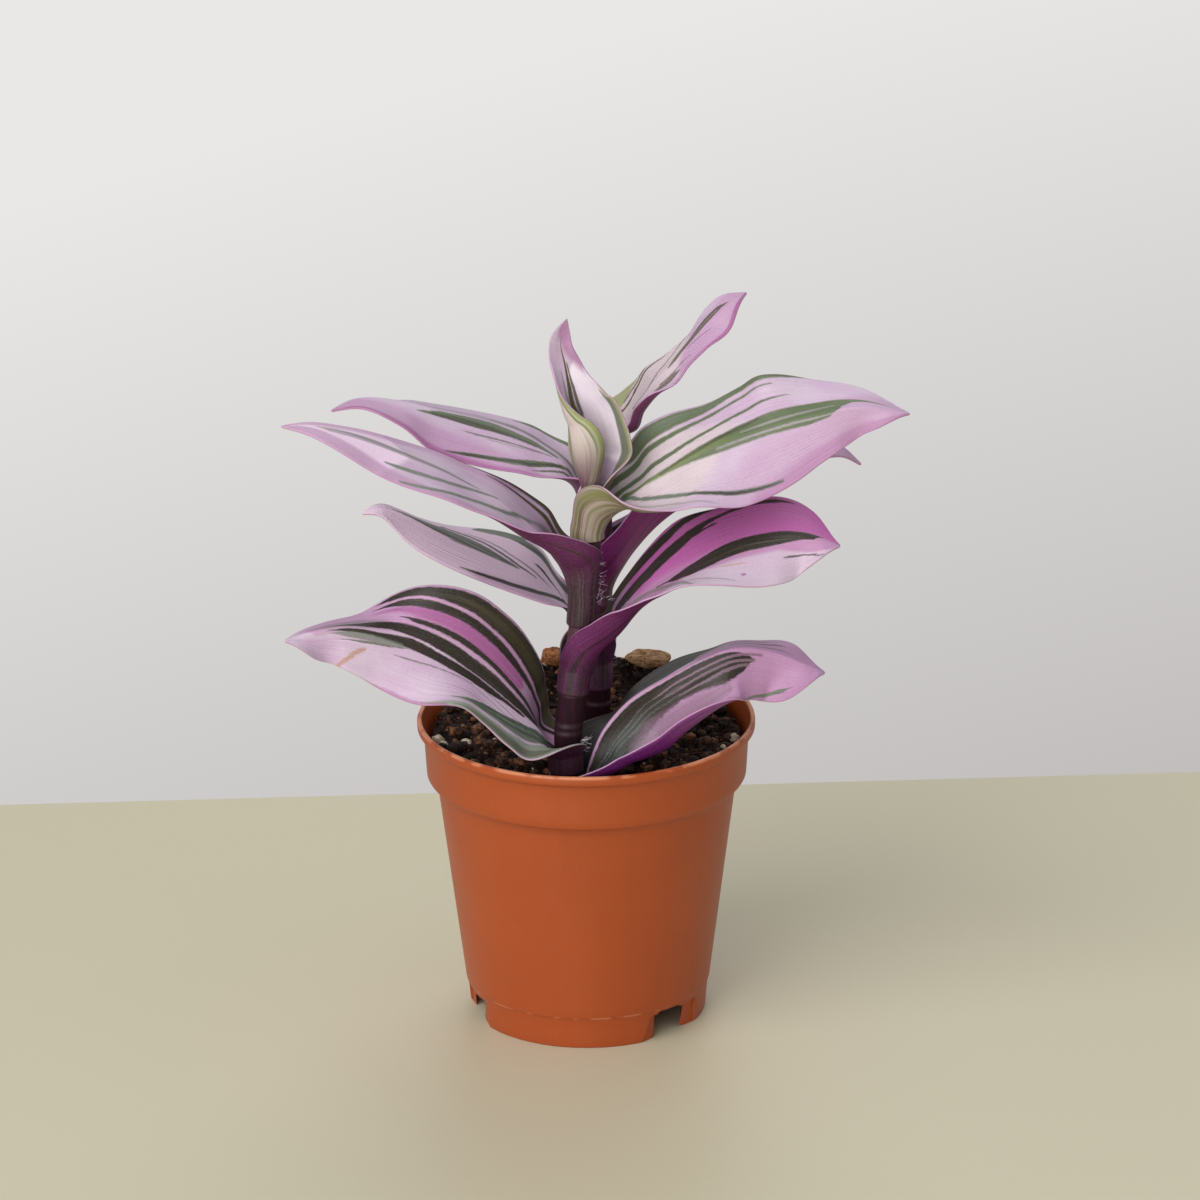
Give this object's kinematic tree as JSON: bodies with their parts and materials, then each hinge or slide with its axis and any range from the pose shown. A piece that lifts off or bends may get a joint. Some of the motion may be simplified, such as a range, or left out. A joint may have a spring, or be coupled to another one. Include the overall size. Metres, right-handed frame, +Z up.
{
  "type": "potted tradescantia",
  "caption": "Young striped tradescantia with pink, lilac and sage leaves on two plum stems, in a small terracotta-coloured plastic nursery pot.",
  "frame": {"origin": "middle of the whole plant's outline, on the surface that the pot stands on; the pot's axis is 2.4 mm from it towards -X", "axes": "+Z up along the pot's axis, front of the plant towards -Y, leaves spread along X"},
  "size_m": [0.1346, 0.076, 0.1688],
  "materials": {
    "pot_plastic": "moulded, slightly satin",
    "peat": "crumbly, matt",
    "bark": "rough",
    "stem": "smooth plant skin",
    "leaf": "satin leaf skin, striped"
  },
  "bodies": {
    "root": {"pot": "pot_plastic", "soil": "peat", "bark_chip_left": "bark", "bark_chip_right": "bark", "stem_front": "stem", "stem_back": "stem", "leaf_front_1": "leaf", "leaf_front_2": "leaf", "leaf_front_3": "leaf", "leaf_front_4": "leaf", "leaf_front_5": "leaf", "leaf_front_6": "leaf", "leaf_back_1": "leaf", "leaf_back_2": "leaf", "leaf_back_3": "leaf", "leaf_back_4": "leaf"}
  },
  "joints": []
}
